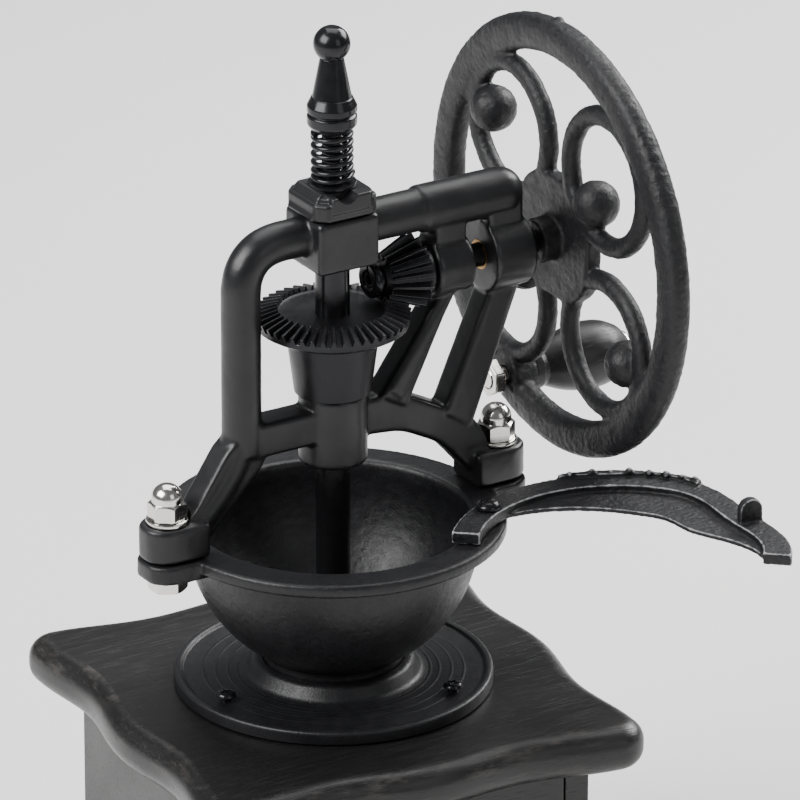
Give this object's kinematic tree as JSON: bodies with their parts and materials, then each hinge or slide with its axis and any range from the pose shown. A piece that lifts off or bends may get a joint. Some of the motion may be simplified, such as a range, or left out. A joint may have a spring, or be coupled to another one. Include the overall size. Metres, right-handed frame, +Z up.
{
  "type": "hand crank coffee grinder",
  "caption": "Hand crank coffee grinder: flywheel, bevel gears and cast bridge over a round open hopper, on a wavy-edged wooden box with a drawer.",
  "frame": {"origin": "centre of the box's flat underside", "axes": "+Z up, +X along the flywheel shaft from the spindle to the wheel, -Y towards the drawer side"},
  "size_m": [0.192, 0.1753, 0.2937],
  "materials": {
    "black_wood": "black stain, satin varnish",
    "plain_wood": "plain, unfinished",
    "rough_iron": "black paint over sand-cast grain",
    "satin_iron": "smooth satin black paint",
    "gear_steel": "dark oiled steel",
    "black_steel": "polished black plate",
    "nickel": "bright nickel plate",
    "steel": "turned steel",
    "bronze": "sintered bronze"
  },
  "bodies": {
    "stand": {"foot_board": "black_wood", "top_board": "black_wood", "box_side_left": "black_wood", "box_side_right": "black_wood", "box_back": "black_wood", "box_front": "black_wood", "base_disc": "rough_iron", "disc_screw_1": "black_steel", "disc_screw_2": "black_steel", "disc_screw_3": "black_steel", "hopper_bowl": "rough_iron", "outer_burr": "gear_steel", "bridge": "satin_iron", "saddle_cap": "satin_iron", "clamp_bolt_right": "nickel", "clamp_bolt_left": "nickel", "clamp_nut_right": "nickel", "clamp_nut_left": "nickel", "clamp_washer_right": "nickel", "clamp_washer_left": "nickel", "guard_screw": "steel", "spindle_bush_lower": "bronze", "spindle_bush_upper": "bronze", "shaft_bush_inner": "bronze", "shaft_bush_outer": "bronze", "spring_seat": "black_steel"},
    "wheel": {"flywheel": "rough_iron", "drive_shaft": "black_steel", "bevel_pinion": "gear_steel", "shaft_washer": "steel", "wheel_nut": "nickel", "crank_pin": "nickel", "crank_pin_nut": "nickel"},
    "knob": {"crank_knob": "black_wood"},
    "spindle": {"spindle": "black_steel", "bevel_gear": "gear_steel", "inner_burr": "gear_steel", "burr_nut": "steel", "adjuster_spring": "black_steel"},
    "adjuster": {"adjuster_finial": "black_steel"},
    "drawer": {"drawer_front": "black_wood", "drawer_tray": "plain_wood", "drawer_knob": "black_wood", "drawer_knob_screw": "steel"},
    "guard": {"bean_guard": "rough_iron"}
  },
  "joints": [
    {"name": "wheel_spin", "type": "hinge", "parent": "stand", "child": "wheel", "pos_m": [0.0754, 0, 0.2134], "axis": [1, 0, 0], "continuous": true},
    {"name": "knob_spin", "type": "hinge", "parent": "wheel", "child": "knob", "pos_m": [0.1, 0.0243, 0.16129], "axis": [1, 0, 0], "continuous": true},
    {"name": "spindle_spin", "type": "hinge", "parent": "stand", "child": "spindle", "pos_m": [0, 0, 0.2], "axis": [0, 0, 1], "continuous": true},
    {"name": "adjuster_turn", "type": "hinge", "parent": "spindle", "child": "adjuster", "pos_m": [0, 0, 0.28], "axis": [0, 0, 1], "range_deg": [-180, 180]},
    {"name": "drawer_slide", "type": "slide", "parent": "stand", "child": "drawer", "axis": [-0.1045, -0.9945, 0], "range_m": [0, 0.07]},
    {"name": "guard_swing", "type": "hinge", "parent": "stand", "child": "guard", "pos_m": [0.03617, -0.02677, 0.1445], "axis": [0, 0, 1], "range_deg": [-136, 10]}
  ],
  "couplings": [
    {"joint": "spindle_spin", "follows": "wheel_spin", "ratio": 0.35556}
  ]
}
